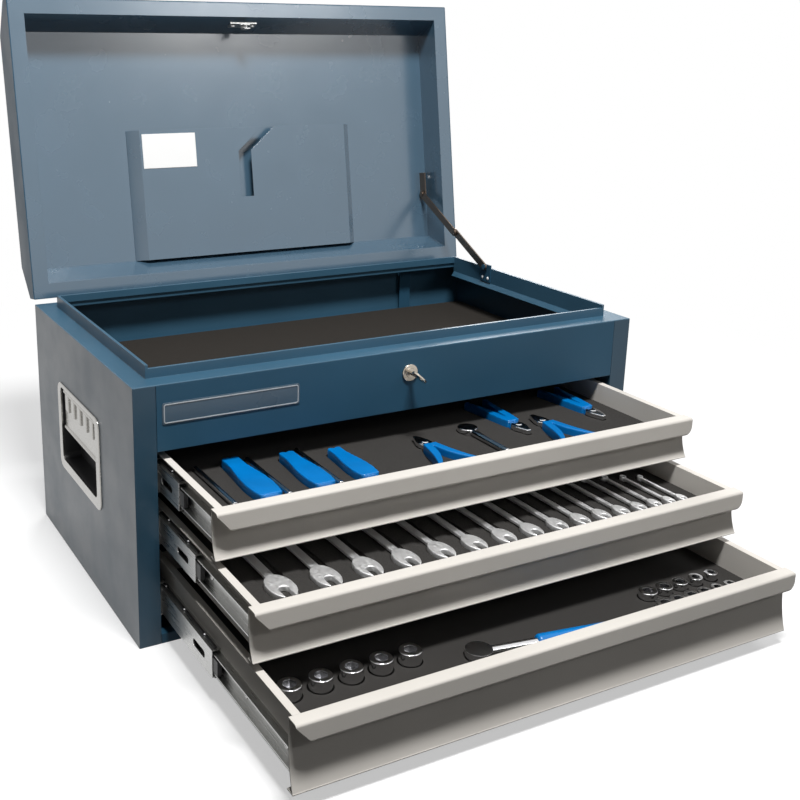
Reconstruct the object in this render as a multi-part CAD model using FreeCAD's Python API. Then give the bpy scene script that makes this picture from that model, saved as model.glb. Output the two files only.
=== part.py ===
import FreeCAD, Part
import math
import os

# Portable steel tool box: a top tray under a hinged lid, and three drawers on ball slides.
# It is modelled as it stands open: the lid up on its stay, and the drawers pulled out in steps.
# Lengths are millimetres. X is the width (right is positive), Y the depth (back is positive) and
# Z is up. The origin is the middle of the base's underside.

V = FreeCAD.Vector
X_AXIS = V(1, 0, 0)
Y_AXIS = V(0, 1, 0)
Z_AXIS = V(0, 0, 1)

# Cabinet
width = 720.0
depth = 416.0
sheet = 1.2
post_width = 27.0
post_return = 20.0
rail_height = 12.0
rail_return = 14.0
pan_flange = 10.0
fascia_height = 79.0
fascia_hem = 16.0
seam = 0.5
ledge_side = 24.5
ledge_front = 26.5
lip_height = 16.0
lip_fold = 3.6
lip_drop = 31.0
lip_back_drop = 10.0
lip_front_step = 4.5
hem_reach = 4.5
hem_height = 7.0
tray_depth = 70.0
liner = 4.0
edge_round = 1.5
ledge_round_share = 0.8
parallel_share = 0.9
hexagon_sides = 6
overrun = 5.0

# Name plate, left blank
plate_length = 172.0
plate_height = 26.0
plate_thickness = 0.8
plate_corner = 3.0
plate_inset = 34.0
plate_drop = 35.0

# Drawers, from the bottom up
bottom_gap = 6.5
front_gap = 10.5
top_gap = 11.0
bottom_front = 78.0
middle_front = 57.5
top_front = 55.0
bottom_pull = 339.0
middle_pull = 251.0
top_pull = 160.0
drawer_travel = 375.0
drawer_sheet = 1.0
front_sheet = 1.2
front_side_gap = 5.0
lip_depth = 16.0
lip_face = 22.7
lip_corner = 9.0
lip_right_corner = 12.0
lip_slant = 17.0
lip_bend = 3.0
lip_return = 8.0
flare = 10.5
flare_foot = 12.0
wall_flange = 8.7
back_drop = 8.0
tray_lift = 2.5
rear_gap = 20.0
foam_clearance = 0.3
bottom_foam_drop = 34.0
middle_foam_drop = 26.0
top_foam_drop = 26.0

# Ball slides
slide_height = 42.0
slide_thickness = 12.7
slide_standoff = 4.0
slide_set = 2.0
slide_metal = 1.2
slide_end_gap = 2.0
outer_reach_share = 0.72
middle_reach_share = 0.84
inner_reach_share = 0.68
lane_gap = 0.8
ball_radius = 1.6
ball_play = 0.1
ball_pitch = 60.0
balls_in_row = 6
cage_thickness = 0.8
middle_travel_share = 0.5
bottom_slide_drop = 48.5
middle_slide_drop = 25.0
top_slide_drop = 25.0
slot_length = 34.0
slot_height = 9.0
slot_inset = 20.0
stop_length = 34.0
stop_reach = 12.0
stop_height = 17.0
stop_thickness = 5.0
upright_width = 30.0
upright_inset = 28.0
screw_head = 3.6
screw_head_height = 1.0

# Lid
lid_gap = 2.4
lid_height = 58.0
lid_open = 99.4
lid_skirt = 23.0
lid_bevel = 44.0
lid_rim_side = 22.5
lid_rim_front = 21.5
lid_inner_height = 50.0
lid_inner_slope = 17.5
hinge_offset = 3.4
knuckle_radius = 3.0
pin_radius = 1.5
running_clearance = 0.05
hinge_margin = 60.0
hinge_leaf = 26.0
hinge_lid_leaf = 20.0
hinge_knuckles = 20
knuckle_gap = 0.5

# Document pocket on the lid's inner panel, measured from the lid's back edge and left side
pocket_low = 39.4
pocket_high = 233.0
pocket_inset = 170.0
pocket_slant = 16.0
pocket_depth = 16.0
pocket_sheet = 1.0
hook_slot_left = 345.0
hook_slot_width = 21.0
hook_slot_low = 126.0
hook_slot_high = 197.0
hook_mouth_shift = 49.0
card_left = 189.0
card_width = 85.0
card_low = 176.0
card_height = 51.0
card_thickness = 0.6

# Stay between the cabinet's right side and the lid
stay_low_y = 88.9
stay_low_z = 337.2
stay_lid_along = 114.6
stay_lid_up = 43.0
stay_inset = 33.0
stay_lower_share = 0.457
stay_arm_width = 12.0
stay_arm = 2.0
stay_arm_gap = 0.4
stay_rivet = 2.5
stay_rivet_head = 4.2
stay_head_height = 1.2
stay_bracket = 2.0
stay_bracket_width = 26.0
stay_bracket_drop = 24.0
stay_foot = 9.0
stay_foot_reach = 36.0

# Cam lock and lid catch
lock_drop = 30.0
lock_flange = 11.0
lock_flange_thickness = 2.5
lock_body = 9.5
lock_length = 33.0
lock_core = 6.0
lock_nut_flat = 24.0
lock_nut_thickness = 4.0
core_front = 0.8
core_back = 3.0
keyway_width = 2.2
keyway_height = 8.0
key_play = 0.1
key_blade = 22.0
key_neck = 8.0
key_bow = 11.0
key_hole = 3.0
key_lean = -45.0
cam_gap = 0.5
cam_thickness = 2.0
cam_reach = 40.0
cam_tip = 6.0
cam_width = 14.0
cam_notch = 6.0
cam_notch_past = 3.0
catch_pin = 2.0
catch_leg = 1.5
catch_leg_gap = 1.0
catch_leg_drop = 4.0
catch_leg_width = 10.0
catch_plate_length = 44.0
catch_plate_height = 12.0
catch_plate = 2.0
catch_screw_spacing = 32.0
catch_head_gap = 2.0
catch_screw_foot_share = 0.8
catch_screw_reach_share = 0.6

# Recessed carrying handles in the two sides
handle_length = 180.0
handle_height = 122.0
handle_back = 10.0
handle_rise = 180.0
handle_corner = 14.0
bezel = 14.0
bezel_top = 5.0
bezel_proud = 2.0
bezel_round_share = 0.6
cup_depth = 24.0
cup_wall = 1.0
cup_corner = 8.0
cup_play = 0.3
grip_length = 140.0
grip_axis_drop = 6.0
grip_axis_depth = 3.5
grip_barrel = 3.4
grip_pin = 1.7
grip_drop = 50.0
grip_thickness = 2.6
grip_roll = 3.2
grip_ribs = 5
grip_rib_width = 13.0
grip_rib_height = 24.0
grip_rib_depth = 2.4
grip_rib_pitch = 27.0
grip_rib_round_share = 0.6

# Drawer locking bar behind the drawers
bar_inset = 110.0
bar_width = 20.0
bar_thickness = 2.0
bar_travel = 8.0
bar_back_gap = 5.0
bar_foot = 30.0
bar_play = 1.0
tab_drop = 13.0
tab_length = 11.0
tab_half = 14.0
tab_thickness = 1.0
tab_slot = 5.0
tab_clear = 2.0
pin_half = 4.0
pin_depth = 3.0
tongue_thickness = 2.0
leaf_spring = 0.8
leaf_spring_width = 16.0
leaf_spring_span = 70.0

# Tools in the drawers, laid out for a tray of this inside width and scaled with the tray
tool_tray_width = 630.6
tool_front = 8.0
tool_stand = 9.0
tool_sink = 5.0
pocket_play = 0.8
plier_places = [77.0, 145.0, 203.0]
plier_length = 153.0
plier_step = 13.0
plier_grip = 19.0
plier_grip_step = 1.5
plier_steel = 36.0
plier_thickness = 14.0
handle_seam = 0.6
handle_width_shares = [(0.7, 0.0), (0.86, 0.22), (0.78, 0.5), (0.6, 0.72), (0.56, 0.93)]
handle_seam_shares = [0.0, 0.33, 0.66, 0.93]
handle_end_share = 0.07
jaw_shares = [(-0.22, 0.0), (0.22, 0.0), (0.68, 0.5), (0.72, 0.75), (0.45, 1.0),
              (-0.45, 1.0), (-0.72, 0.75), (-0.68, 0.5)]
jaw_thickness_share = 0.32
pivot_radius_share = 0.32
pivot_place_share = 0.68
pivot_height_share = 0.4
punch_radius = 3.6
punch_length = 116.0
punch_first = 34.5
punch_pitch = 65.5
punch_front = 44.0
punch_stand_share = 0.6
spread_grip = 13.0
spread_steel = 34.0
wide_length = 112.0
wide_lean = 34.0
wide_front = 18.0
wide_first = 2.0
wide_second = 186.0
narrow_length = 120.0
narrow_lean = 13.0
narrow_front = 84.0
narrow_first = 147.0
narrow_second = 272.0
key_head = 13.0
key_head_x = 82.0
key_head_y = 129.0
key_shank = 4.0
key_shank_length = 86.0
spanner_count = 16
spanner_width = 31.0
spanner_least = 11.0
spanner_pitch_share = 1.75
spanner_head_share = 1.7
spanner_shank_share = 0.36
spanner_length_share = 7.5
spanner_jaw_share = 0.38
spanner_throat_share = 0.36
spanner_neck_share = 0.9
shank_low_share = 0.2
shank_high_share = 0.8
ring_outer_share = 0.36
ring_inner_share = 0.22
spanner_stand_share = 0.5
spanner_inset = 52.0
spanner_front = 34.0
spanner_thickness = 7.0
socket_radius = 12.8
socket_length = 34.0
socket_pitch = 35.5
socket_first = 26.0
socket_row = 75.0
socket_count = 5
socket_bore_share = 0.62
socket_floor_share = 0.45
socket_round_share = 0.09
small_socket_radius = 11.0
small_socket_step = 0.8
small_socket_inset = 36.0
small_back_count = 5
small_back_pitch = 25.5
small_back_row = 65.0
small_front_count = 6
small_front_pitch = 20.8
small_front_row = 35.0
extension_radius = 5.0
extension_length = 44.0
extension_x = 30.0
extension_y = 33.0
ratchet_head = 15.0
ratchet_neck = 5.5
ratchet_length = 175.0
ratchet_grip = 105.0
ratchet_grip_radius = 9.0
ratchet_round_share = 0.45
ratchet_stand_share = 0.3
ratchet_x = 239.0
ratchet_y = 51.0
ratchet_lean = -9.0

# Places worked out from the sizes above
left = -width / 2
right = width / 2
front = -depth / 2
back = depth / 2
bottom_lip = rail_height + bottom_gap + bottom_front
middle_lip = bottom_lip + front_gap + middle_front
top_lip = middle_lip + front_gap + top_front
bay_top = top_lip + top_gap
height = bay_top + fascia_height
tray_floor_top = height - tray_depth
wall_x = right - post_width - slide_standoff - slide_thickness
rail_x = right - post_width - slide_standoff
front_half = right - post_width - front_side_gap
drawer_back = front + lip_depth
drawer_depth = depth - lip_depth - sheet - rear_gap
slide_length = drawer_depth - slide_set - slide_end_gap
middle_length = slide_length - stop_reach
lid_z = height + lid_gap
hinge_y = back + hinge_offset
hinge_point = V(0, hinge_y, lid_z)
lock_z = height - lock_drop
cam_y = front + lock_length + cam_gap
bar_x = right - bar_inset
bar_y = back - sheet - bar_back_gap
ball_lane = 2 * (ball_radius + ball_play)
outer_half = slide_height / 2
middle_half = outer_half - slide_metal - ball_lane
inner_half = middle_half - slide_metal - ball_lane
outer_reach = slide_thickness * outer_reach_share
middle_reach = slide_thickness * middle_reach_share
inner_reach = slide_thickness * inner_reach_share
tool_left = -tool_tray_width / 2
tool_fit = 2 * (wall_x - drawer_sheet) / tool_tray_width
lip_top = height + lip_height

DRAWERS = [
    ("bottom", bottom_lip, bottom_front, bottom_slide_drop, bottom_pull, bottom_foam_drop),
    ("middle", middle_lip, middle_front, middle_slide_drop, middle_pull, middle_foam_drop),
    ("top", top_lip, top_front, top_slide_drop, top_pull, top_foam_drop),
]


def box(x0, x1, y0, y1, z0, z1):
    """A box between two corners."""
    return Part.makeBox(x1 - x0, y1 - y0, z1 - z0, V(x0, y0, z0))


def rod(radius, start, end):
    """A round bar from one point to another."""
    along = end - start
    return Part.makeCylinder(radius, along.Length, start, along)


def rod_x(radius, centre, x0, x1):
    """A round bar along X through a point."""
    return rod(radius, V(x0, centre.y, centre.z), V(x1, centre.y, centre.z))


def face_of(edges):
    return Part.Face(Part.Wire(edges))


def prism_x(points, x0, x1):
    """A (y, z) outline drawn out along X."""
    corners = [V(x0, y, z) for y, z in points]
    return Part.Face(Part.makePolygon(corners + corners[:1])).extrude(V(x1 - x0, 0, 0))


def prism_y(points, y0, y1):
    """An (x, z) outline drawn out along Y."""
    corners = [V(x, y0, z) for x, z in points]
    return Part.Face(Part.makePolygon(corners + corners[:1])).extrude(V(0, y1 - y0, 0))


def prism_z(points, z0, z1):
    """An (x, y) outline drawn out along Z."""
    corners = [V(x, y, z0) for x, y in points]
    return Part.Face(Part.makePolygon(corners + corners[:1])).extrude(V(0, 0, z1 - z0))


def hexagon(radius):
    """Corners of a hexagon about zero, from its centre-to-corner size."""
    turns = [math.tau * i / hexagon_sides for i in range(hexagon_sides)]
    return [(radius * math.cos(turn), radius * math.sin(turn)) for turn in turns]


def along(shape, axis):
    """The edges that run along an axis."""
    return [e for e in shape.Edges
            if abs(e.tangentAt(e.FirstParameter).dot(axis)) > parallel_share]


def rounded_box(x0, x1, y0, y1, z0, z1, radius, axis):
    """A box with the edges along one axis rounded."""
    block = box(x0, x1, y0, y1, z0, z1)
    return block.makeFillet(radius, along(block, axis))


def fuse(shapes):
    """One clean solid from pieces that share faces."""
    return shapes[0].multiFuse(shapes[1:]).removeSplitter()


def cut(shape, tools):
    return shape.cut(Part.makeCompound(tools))


def mirrored(shape):
    """The same piece on the other side of the cabinet."""
    return shape.mirror(V(0, 0, 0), X_AXIS)


def moved(shape, x, y, z):
    return shape.translated(V(x, y, z))


def lifted(shape):
    """A lid piece, drawn closed, swung open about the hinge."""
    return shape.rotated(hinge_point, X_AXIS, -lid_open)


def save(node, shapes):
    solids = shapes if isinstance(shapes, list) else [shapes]
    whole = solids[0] if len(solids) == 1 else Part.makeCompound(solids)
    whole.exportStep("parts/" + node + ".step")
    print(node, len(whole.Solids), "solids", whole.isValid())


# Cabinet panels

def handle_centre():
    return V(left, handle_back, handle_rise)


def handle_window():
    """Lower and upper edge of the bezel's window."""
    half = handle_height / 2
    return handle_rise - half + bezel, handle_rise + half - bezel_top


def side_panel():
    """Left side sheet with its folded front post and the opening for the handle's cup."""
    c = handle_centre()
    half = handle_length / 2 - bezel + cup_wall
    low, high = handle_window()
    sheet_side = box(left, left + sheet, front, back, 0, height - sheet)
    post = box(left, left + post_width, front, front + sheet, 0, height - sheet)
    inner = box(left + post_width - sheet, left + post_width, front, front + post_return,
                sheet, bay_top)
    opening = box(left - overrun, left + sheet + overrun, c.y - half - cup_play,
                  c.y + half + cup_play, low - cup_wall - cup_play, high + cup_wall + cup_play)
    return cut(fuse([sheet_side, post, inner]), [opening])


def back_panel():
    """Back sheet, with a strap that guides the foot of the locking bar."""
    panel = box(left + sheet, right - sheet, back - sheet, back, 0, height - sheet)
    half = bar_width / 2 + bar_play
    low = bar_foot + bar_travel + bar_width
    high = low + bar_width
    strap_y = bar_y - bar_thickness - bar_play
    legs = [box(x, x + sheet, strap_y, back - sheet, low, high)
            for x in (bar_x - half - sheet, bar_x + half)]
    strap = box(bar_x - half - sheet, bar_x + half + sheet, strap_y - sheet, strap_y, low, high)
    return fuse([panel, strap] + legs)


def base_pan():
    """Floor of the cabinet, with the low front rail and folded side flanges."""
    inner_left = left + sheet
    inner_right = right - sheet
    floor = box(inner_left, inner_right, front + sheet, back - sheet, 0, sheet)
    rail_left = left + post_width + seam
    rail = box(rail_left, -rail_left, front, front + sheet, 0, rail_height)
    step = box(rail_left, -rail_left, front, front + rail_return,
               rail_height - sheet, rail_height)
    sides = [box(inner_left, inner_left + sheet, front + post_return, back - sheet, 0, pan_flange),
             box(inner_right - sheet, inner_right, front + post_return, back - sheet, 0, pan_flange)]
    return fuse([floor, rail, step] + sides)


def front_fascia():
    """Panel over the drawers, with its folded lower hem and the hole for the lock."""
    edge = left + post_width + seam
    panel = box(edge, -edge, front, front + sheet, bay_top, height - sheet)
    hem = box(edge, -edge, front, front + fascia_hem, bay_top, bay_top + sheet)
    turn = box(edge, -edge, front + fascia_hem - sheet, front + fascia_hem,
               bay_top, tray_floor_top - sheet)
    hole = rod(lock_body + running_clearance, V(0, front - overrun, lock_z),
               V(0, front + overrun, lock_z))
    return cut(fuse([panel, hem, turn]), [hole])


def ring(outer_side, outer_front, wall_side, wall_front, z0, z1):
    """A rectangular ring, measured inwards from the cabinet's outline."""
    outer = box(left + outer_side, right - outer_side, front + outer_front, back - outer_front,
                z0, z1)
    inner_side = outer_side + wall_side
    inner_front = outer_front + wall_front
    inner = box(left + inner_side, right - inner_side, front + inner_front, back - inner_front,
                z0 - overrun, z1 + overrun)
    return outer.cut(inner)


def top_rim_frame():
    """Flat ledge round the tray's mouth and the folded lip that stands inside it."""
    ledge = ring(0, 0, ledge_side + sheet, ledge_front + sheet, height - sheet, height)
    corner_edges = [e for e in ledge.Edges
                    if abs(e.CenterOfMass.z - height) < sheet / 2
                    and (abs(abs(e.CenterOfMass.x) - right) < sheet
                         or abs(abs(e.CenterOfMass.y) - back) < sheet)]
    ledge = ledge.makeFillet(sheet * ledge_round_share, corner_edges)
    outer_leg = ring(ledge_side, ledge_front, sheet, sheet, height - sheet, lip_top)
    crown = ring(ledge_side, ledge_front, lip_fold, lip_fold, lip_top - sheet, lip_top)
    inner_side = ledge_side + lip_fold - sheet
    inner_front = ledge_front + lip_fold - sheet
    inner_leg = ring(inner_side, inner_front, sheet, sheet, lip_top - lip_drop, lip_top)
    short_back = box(left + ledge_side + lip_fold, right - ledge_side - lip_fold,
                     back - ledge_front - lip_fold - overrun, back - ledge_front,
                     lip_top - lip_drop - overrun, lip_top - lip_back_drop)
    bar_hole = box(bar_x - bar_width / 2 - bar_play, bar_x + bar_width / 2 + bar_play,
                   bar_y - bar_thickness - bar_play, bar_y + bar_play,
                   height - overrun, height + overrun)
    face_x = left + ledge_side + lip_fold
    low = lip_top - lip_drop
    hem_front = front + inner_front + sheet
    hem = prism_y([(face_x - sheet, low + hem_height), (face_x, low + hem_height),
                   (face_x + hem_reach, low), (face_x + hem_reach - sheet, low - sheet),
                   (face_x - sheet, low)], hem_front, -hem_front)
    frame = fuse([ledge, outer_leg, crown, inner_leg.cut(short_back)])
    lip_y = front + ledge_front
    front_top = lip_top - lip_front_step
    step = box(face_x, -face_x, lip_y - overrun, lip_y + lip_fold + overrun,
               front_top, lip_top + overrun)
    front_crown = box(face_x, -face_x, lip_y, lip_y + lip_fold, front_top - sheet, front_top)
    return fuse([cut(frame, [bar_hole, step]), front_crown, hem, mirrored(hem)])


def tray_floor():
    """Floor of the top tray, with the slot that the locking bar passes through."""
    plate = box(left + sheet, right - sheet, front + sheet, back - sheet,
                tray_floor_top - sheet, tray_floor_top)
    slot = box(bar_x - bar_width / 2 - bar_play, bar_x + bar_width / 2 + bar_play,
               bar_y - bar_thickness - bar_play, bar_y + bar_play,
               tray_floor_top - overrun, tray_floor_top + overrun)
    return cut(plate, [slot])


def tray_liner():
    """Soft dark mat that lies on the tray's floor, short of the locking bar."""
    rear = bar_y - bar_thickness - bar_play - foam_clearance
    return box(left + sheet + foam_clearance, right - sheet - foam_clearance,
               front + sheet + foam_clearance, rear, tray_floor_top, tray_floor_top + liner)


def name_plate():
    x0 = left + plate_inset
    z1 = height - plate_drop + plate_height / 2
    return rounded_box(x0, x0 + plate_length, front - plate_thickness, front,
                       z1 - plate_height, z1, plate_corner, Y_AXIS)


def slide_uprights():
    """Four channels that carry the slide rails inboard of the posts."""
    shapes = []
    inner = right - sheet
    for y0 in (front + upright_inset, back - upright_inset - upright_width):
        web = box(rail_x, rail_x + sheet, y0, y0 + upright_width, sheet, tray_floor_top - sheet)
        legs = [box(rail_x, inner - sheet, y, y + sheet, sheet, tray_floor_top - sheet)
                for y in (y0, y0 + upright_width - sheet)]
        channel = fuse([web] + legs)
        shapes += [channel, mirrored(channel)]
    return shapes


# Slides: each member is drawn for the right side, round the slide's own middle height

def slide_section(x0, x1, half, web_at_left, y0, y1):
    """A C of sheet: a web on one side and two flanges."""
    web_x = x0 if web_at_left else x1 - slide_metal
    web = box(web_x, web_x + slide_metal, y0, y1, -half, half)
    flanges = [box(x0, x1, y0, y1, half - slide_metal, half),
               box(x0, x1, y0, y1, -half, -half + slide_metal)]
    return fuse([web] + flanges)


def outer_rail(y0):
    """Rail fixed to the uprights; its web is on the cabinet's side."""
    return slide_section(rail_x - outer_reach, rail_x, outer_half, False, y0, y0 + slide_length)


def middle_member(y0):
    """Travelling member inside the rail, with the long slot near its front end."""
    outer = rail_x - slide_metal - lane_gap
    body = slide_section(outer - middle_reach, outer, middle_half, False, y0, y0 + middle_length)
    r = slot_height / 2
    ya = y0 + slot_inset + r
    yb = ya + slot_length - slot_height
    slot = fuse([box(outer - slide_metal - overrun, outer + overrun, ya, yb, -r, r),
                 rod(r, V(outer - slide_metal - overrun, ya, 0), V(outer + overrun, ya, 0)),
                 rod(r, V(outer - slide_metal - overrun, yb, 0), V(outer + overrun, yb, 0))])
    slot_cut = slot.common(box(outer - slide_metal - lane_gap, outer + overrun, y0, yb + slot_length,
                               -middle_half, middle_half))
    return cut(body, [slot_cut])


def inner_member(y0):
    """Member fixed to the drawer's wall; it runs inside the middle member."""
    return slide_section(wall_x, wall_x + inner_reach, inner_half, True, y0, y0 + slide_length)


def ball_cage(y_middle):
    """Strips of balls above and below the middle and inner members, and the black end stop."""
    shapes = []
    lanes = [(outer_half - slide_metal - ball_lane / 2, rail_x - slide_metal - lane_gap
              - middle_reach / 2),
             (middle_half - slide_metal - ball_lane / 2, wall_x + inner_reach / 2)]
    first = y_middle + middle_length / 2 - ball_pitch * (balls_in_row - 1) / 2
    for lane_z, lane_x in lanes:
        for sign in (1, -1):
            z = sign * lane_z
            centres = [V(lane_x, first + ball_pitch * i, z) for i in range(balls_in_row)]
            strip = box(lane_x - ball_radius, lane_x + ball_radius, first - ball_pitch / 2,
                        centres[-1].y + ball_pitch / 2, z - cage_thickness / 2, z + cage_thickness / 2)
            strip = cut(strip, [Part.makeSphere(ball_radius + ball_play / 2, c) for c in centres])
            shapes += strip.Solids
            shapes += [Part.makeSphere(ball_radius, c) for c in centres]
    stop_x = rail_x - slide_metal - lane_gap - slide_metal
    shapes.append(box(stop_x - stop_thickness, stop_x, y_middle - stop_reach,
                      y_middle - stop_reach + stop_length, -stop_height / 2, stop_height / 2))
    return shapes


def both_sides(shapes, z):
    """The right-hand solids and their mirrored twins, at the slide's height."""
    placed = [moved(s, 0, 0, z) for s in shapes]
    return placed + [mirrored(s) for s in placed]


def build_slides():
    rails = []
    rest_y = drawer_back + slide_set
    for name, lip, _, drop, pull, _ in DRAWERS:
        z = lip - drop
        rails += both_sides([outer_rail(rest_y)], z)
        middle_y = rest_y - pull * middle_travel_share + stop_reach
        save(name + "_slide_middle", both_sides([middle_member(middle_y)], z))
        save(name + "_slide_cages", both_sides(ball_cage(middle_y), z))
        save(name + "_slide_inner", both_sides([inner_member(rest_y - pull)], z))
    save("slide_outer_rails", rails)


# Drawers, drawn round the middle of their front's back face, at the height of the lip's top

def drawer_front(tall):
    """Front sheet: a full-width pull lip over a panel that curves out at its foot."""
    t = front_sheet
    drop = tall - lip_face
    out = flare - t
    radius = (drop * drop + out * out) / (2 * out)
    cy = -t - radius
    cz = -lip_face
    end = math.asin(drop / radius)

    def on_arc(r, angle):
        return V(-front_half, cy + r * math.cos(angle), cz - r * math.sin(angle))

    edges = [Part.Arc(on_arc(radius, 0), on_arc(radius, end / 2), on_arc(radius, end)).toShape(),
             Part.makeLine(on_arc(radius, end), on_arc(radius + t, end)),
             Part.Arc(on_arc(radius + t, end), on_arc(radius + t, end / 2),
                      on_arc(radius + t, 0)).toShape(),
             Part.makeLine(on_arc(radius + t, 0), V(-front_half, 0, 0)),
             Part.makeLine(V(-front_half, 0, 0), V(-front_half, -t, 0)),
             Part.makeLine(V(-front_half, -t, 0), on_arc(radius, 0))]
    panel = face_of(edges).extrude(V(2 * front_half, 0, 0))
    foot = box(-front_half, front_half, -flare, -flare + flare_foot, -tall, -tall + t)
    outer = box(-front_half, front_half, -lip_depth, -t, -lip_face, 0)
    bends = [e for e in along(outer, X_AXIS) if abs(e.CenterOfMass.y + lip_depth) < t]
    outer = outer.makeFillet(lip_bend, bends)
    hollow = box(-front_half - overrun, front_half + overrun, -lip_depth + t, -t,
                 -lip_face + t, -t)
    hollow_bends = [e for e in along(hollow, X_AXIS) if abs(e.CenterOfMass.y + lip_depth - t) < t]
    hollow = hollow.makeFillet(lip_bend - t, hollow_bends)
    mouth = box(-front_half - overrun, front_half + overrun, -lip_depth + lip_return, -t,
                -lip_face - overrun, -lip_face + t)
    ends = prism_y([(-front_half, overrun), (-front_half, -lip_bend),
                    (-front_half + lip_slant, -lip_face), (front_half, -lip_face),
                    (front_half, overrun)], -lip_depth - overrun, -t)
    for side, radius in ((-1, lip_corner), (1, lip_right_corner)):
        low_edges = [e for e in along(ends, Y_AXIS)
                     if e.CenterOfMass.z < -lip_face + t and e.CenterOfMass.x * side > 0]
        ends = ends.makeFillet(radius, low_edges)
    lip = cut(outer, [hollow, mouth]).common(ends)
    return fuse([panel, foot, lip])


def drawer_tray(tall):
    """Folded drawer box with outward top flanges and the tab for the locking bar."""
    t = drawer_sheet
    low = -tall + tray_lift
    floor = box(-wall_x, wall_x, 0, drawer_depth, low, low + t)
    wall = box(wall_x - t, wall_x, 0, drawer_depth, low, 0)
    flange = box(wall_x - t, wall_x - t + wall_flange, 0, drawer_depth, -t, 0)
    rear = box(-wall_x, wall_x, drawer_depth - t, drawer_depth, low, -back_drop)
    tab = box(bar_x - tab_half, bar_x + tab_half, drawer_depth - t, drawer_depth + tab_length,
              -tab_drop - tab_thickness, -tab_drop)
    slot = box(bar_x - tab_slot, bar_x + tab_slot, drawer_depth + tab_length / 2 - pin_depth,
               drawer_depth + tab_length / 2 + pin_depth, -tab_drop - overrun, -tab_drop + overrun)
    return fuse([floor, wall, mirrored(wall), flange, mirrored(flange), rear, cut(tab, [slot])])


def foam_block(tall, drop):
    """Foam inlay between the drawer's floor and the level that the tools lie in."""
    inner = wall_x - drawer_sheet - foam_clearance
    low = -tall + tray_lift + drawer_sheet
    return box(-inner, inner, foam_clearance, drawer_depth - drawer_sheet - foam_clearance,
               low, -drop)


# Tools, drawn lying along Y with their middle height at zero

def plate_between(points_left, points_right, thickness, end_bulge):
    """A flat tool outline: two smooth sides joined by a straight foot and a round end."""
    low = -thickness / 2
    lefts = [V(x, y, low) for x, y in points_left]
    rights = [V(x, y, low) for x, y in points_right]
    side_a = Part.BSplineCurve()
    side_a.interpolate(lefts)
    side_b = Part.BSplineCurve()
    side_b.interpolate(rights)
    top_mid = (lefts[-1] + rights[-1]) / 2 + V(0, end_bulge, 0)
    edges = [side_a.toShape(), Part.Arc(lefts[-1], top_mid, rights[-1]).toShape(),
             side_b.toShape(), Part.makeLine(rights[0], lefts[0])]
    wire = Part.Wire(Part.__sortEdges__(edges))
    return Part.Face(wire).extrude(V(0, 0, thickness))


def plier_grip_half(length, grip, thickness, lean):
    """One dipped handle; lean moves its end sideways."""
    inner = [(handle_seam / 2 + lean * s * s, length * s) for s in handle_seam_shares]
    outer = [(grip * w + lean * s * s, length * s) for w, s in handle_width_shares]
    return plate_between(inner, outer, thickness, length * handle_end_share)


def pliers(length, steel, grip, lean):
    """Pliers with their jaws at the front: the steel head and two handles."""
    half = plier_grip_half(length - steel, grip, plier_thickness, lean)
    grips = [moved(half, 0, steel, 0), moved(mirrored(half), 0, steel, 0)]
    z = plier_thickness * jaw_thickness_share
    head = prism_z([(grip * across, steel * along) for across, along in jaw_shares], -z, z)
    pivot_y = steel * pivot_place_share
    pivot = rod(grip * pivot_radius_share, V(0, pivot_y, -z),
                V(0, pivot_y, plier_thickness * pivot_height_share))
    return fuse([head, pivot]), grips


def spanner(size):
    """Open spanner: a jawed head in front and a shank with a ring behind."""
    head = size * spanner_head_share
    length = size * spanner_length_share
    t = spanner_thickness
    oval = Part.Ellipse(V(0, head, 0), V(size / 2, head / 2, 0), V(0, head / 2, 0))
    lobe = Part.Face(Part.Wire([oval.toShape()])).extrude(V(0, 0, t))
    jaw_half = size * spanner_jaw_share / 2
    throat = head * spanner_throat_share
    jaw = box(-jaw_half, jaw_half, -overrun, throat, -overrun, t + overrun)
    jaw_end = rod(jaw_half, V(0, throat, -overrun), V(0, throat, t + overrun))
    shank_half = size * spanner_shank_share / 2
    shank = box(-shank_half, shank_half, head * spanner_neck_share, length,
                t * shank_low_share, t * shank_high_share)
    ring_out = rod(size * ring_outer_share, V(0, length, 0), V(0, length, t))
    ring_in = rod(size * ring_inner_share, V(0, length, -overrun), V(0, length, t + overrun))
    body = fuse([lobe, shank, ring_out])
    return moved(cut(body, [jaw, jaw_end, ring_in]), 0, 0, -t / 2)


def socket(radius, length):
    """Socket that stands upright, open at the top."""
    body = Part.makeCylinder(radius, length)
    rims = [e for e in body.Edges if e.Closed]
    body = body.makeFillet(radius * socket_round_share, rims)
    bore = prism_z(hexagon(radius * socket_bore_share), length * socket_floor_share,
                   length + overrun)
    return body.cut(bore)


def fitted(shape, level):
    """A tool scaled with the tray about the middle of the foam's front edge."""
    return shape.scaled(tool_fit, V(0, 0, level))


def pocket_for(shape, top):
    """Box-shaped recess round a tool, open upwards to the foam's top."""
    b = shape.BoundBox
    return box(b.XMin - pocket_play, b.XMax + pocket_play, b.YMin - pocket_play,
               b.YMax + pocket_play, b.ZMin, top + overrun)


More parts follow.
